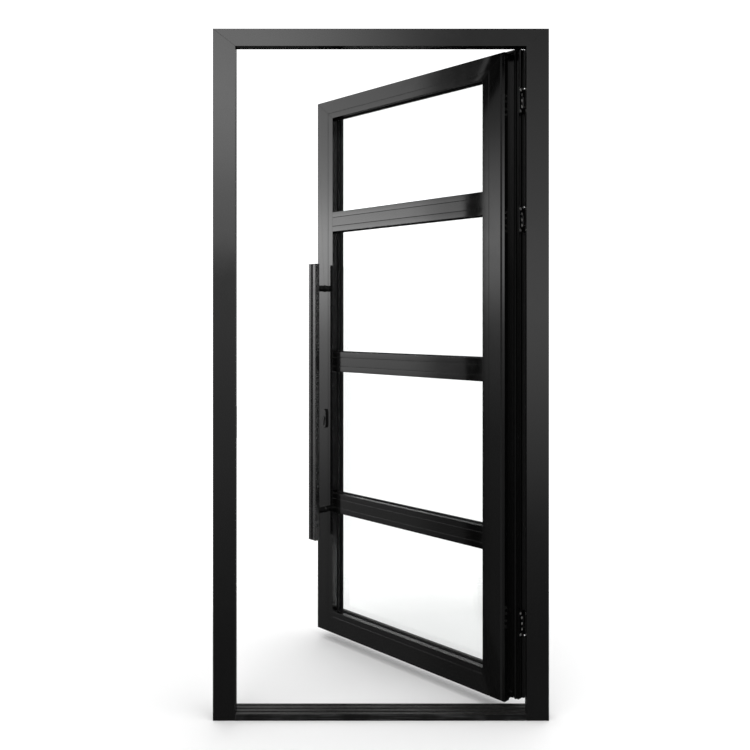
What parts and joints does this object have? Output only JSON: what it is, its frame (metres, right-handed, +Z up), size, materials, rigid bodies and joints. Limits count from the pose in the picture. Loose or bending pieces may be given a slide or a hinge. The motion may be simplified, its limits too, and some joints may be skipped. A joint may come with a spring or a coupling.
{
  "type": "glass door",
  "caption": "Entrance door with a slim black aluminium frame and a glazed leaf that swings inward, with a long upright pull bar outside and a low threshold",
  "frame": {"origin": "middle of the underside of the threshold, at mid width and mid depth of the frame", "axes": "+X along the width towards the hinge side seen from outdoors, +Y indoors, +Z up"},
  "size_m": [1.02, 0.7307, 2.1],
  "materials": {
    "black_coat": "satin black powder coat",
    "threshold_metal": "worn satin black coat on ribbed aluminium",
    "mill_aluminium": "mill finish aluminium",
    "steel": "brushed steel",
    "seal_rubber": "matt black rubber",
    "plastic": "grey moulded plastic",
    "clear_glass": "clear float glass"
  },
  "bodies": {
    "frame": {"head": "black_coat", "hinge_jamb": "black_coat", "lock_jamb": "black_coat", "threshold": "threshold_metal", "frame_corner_cleats": "mill_aluminium", "threshold_brackets": "mill_aluminium", "frame_seal": "seal_rubber", "upper_hinge_frame_half": "black_coat", "middle_hinge_frame_half": "black_coat", "lower_hinge_frame_half": "black_coat", "hinge_pins": "steel", "hinge_frame_screws": "steel", "strike_plate": "steel", "strike_screws": "steel"},
    "leaf": {"hinge_stile": "black_coat", "lock_stile": "black_coat", "top_rail": "black_coat", "upper_rail": "black_coat", "middle_rail": "black_coat", "lower_rail": "black_coat", "bottom_rail": "black_coat", "leaf_corner_cleats": "mill_aluminium", "rail_spigots": "mill_aluminium", "top_outer_pane": "clear_glass", "upper_outer_pane": "clear_glass", "lower_outer_pane": "clear_glass", "bottom_outer_pane": "clear_glass", "inner_panes": "clear_glass", "glass_spacers": "plastic", "glazing_beads": "black_coat", "outer_glazing_seals": "seal_rubber", "inner_glazing_seals": "seal_rubber", "setting_blocks": "plastic", "leaf_seal": "seal_rubber", "upper_hinge_leaf_half": "black_coat", "middle_hinge_leaf_half": "black_coat", "lower_hinge_leaf_half": "black_coat", "hinge_bushes": "plastic", "hinge_leaf_screws": "steel", "lock_case": "steel", "lock_faceplate": "steel", "faceplate_screws": "steel", "lock_cylinder": "steel", "outer_escutcheon": "black_coat", "inner_escutcheon": "black_coat", "pull_bar": "black_coat", "bar_end_caps": "black_coat", "bar_posts": "black_coat", "post_bolts": "steel", "bolt_cap_nuts": "steel", "inner_pull": "black_coat", "drop_seal_housing": "mill_aluminium"},
    "dead_bolt": {"dead_bolt": "steel"},
    "latch": {"roller_carriage": "steel", "latch_roller": "steel"},
    "spindle": {"key_plug": "steel", "thumb_turn": "black_coat"},
    "drop_seal": {"drop_seal_bar": "mill_aluminium", "drop_seal_lip": "seal_rubber"},
    "seal_plunger": {"drop_seal_plunger": "steel"}
  },
  "joints": [
    {"name": "leaf_swing", "type": "hinge", "parent": "frame", "child": "leaf", "pos_m": [0.46, 0.054, 1.05], "axis": [0, 0, -1], "range_deg": [-45, 55]},
    {"name": "thumb_turn", "type": "hinge", "parent": "leaf", "child": "spindle", "pos_m": [-0.14882, 0.65716, 0.841], "axis": [0.7071, 0.7071, 0], "range_deg": [0, 90]},
    {"name": "bolt_throw", "type": "slide", "parent": "leaf", "child": "dead_bolt", "axis": [-0.7071, 0.7071, 0], "range_m": [0, 0.02]},
    {"name": "latch_press", "type": "slide", "parent": "leaf", "child": "latch", "axis": [0.7071, -0.7071, 0], "range_m": [0, 0.0035], "stiffness_N_per_m": 400},
    {"name": "seal_drop", "type": "slide", "parent": "leaf", "child": "drop_seal", "axis": [0, 0, -1], "range_m": [0, 0.016], "stiffness_N_per_m": 400, "springref_m": -0.008},
    {"name": "plunger_press", "type": "slide", "parent": "leaf", "child": "seal_plunger", "axis": [-0.7071, 0.7071, 0], "range_m": [0, 0.0032]}
  ],
  "couplings": [
    {"joint": "bolt_throw", "follows": "thumb_turn", "m_per_rad": 0.012732},
    {"joint": "plunger_press", "follows": "seal_drop", "ratio": 0.2}
  ]
}
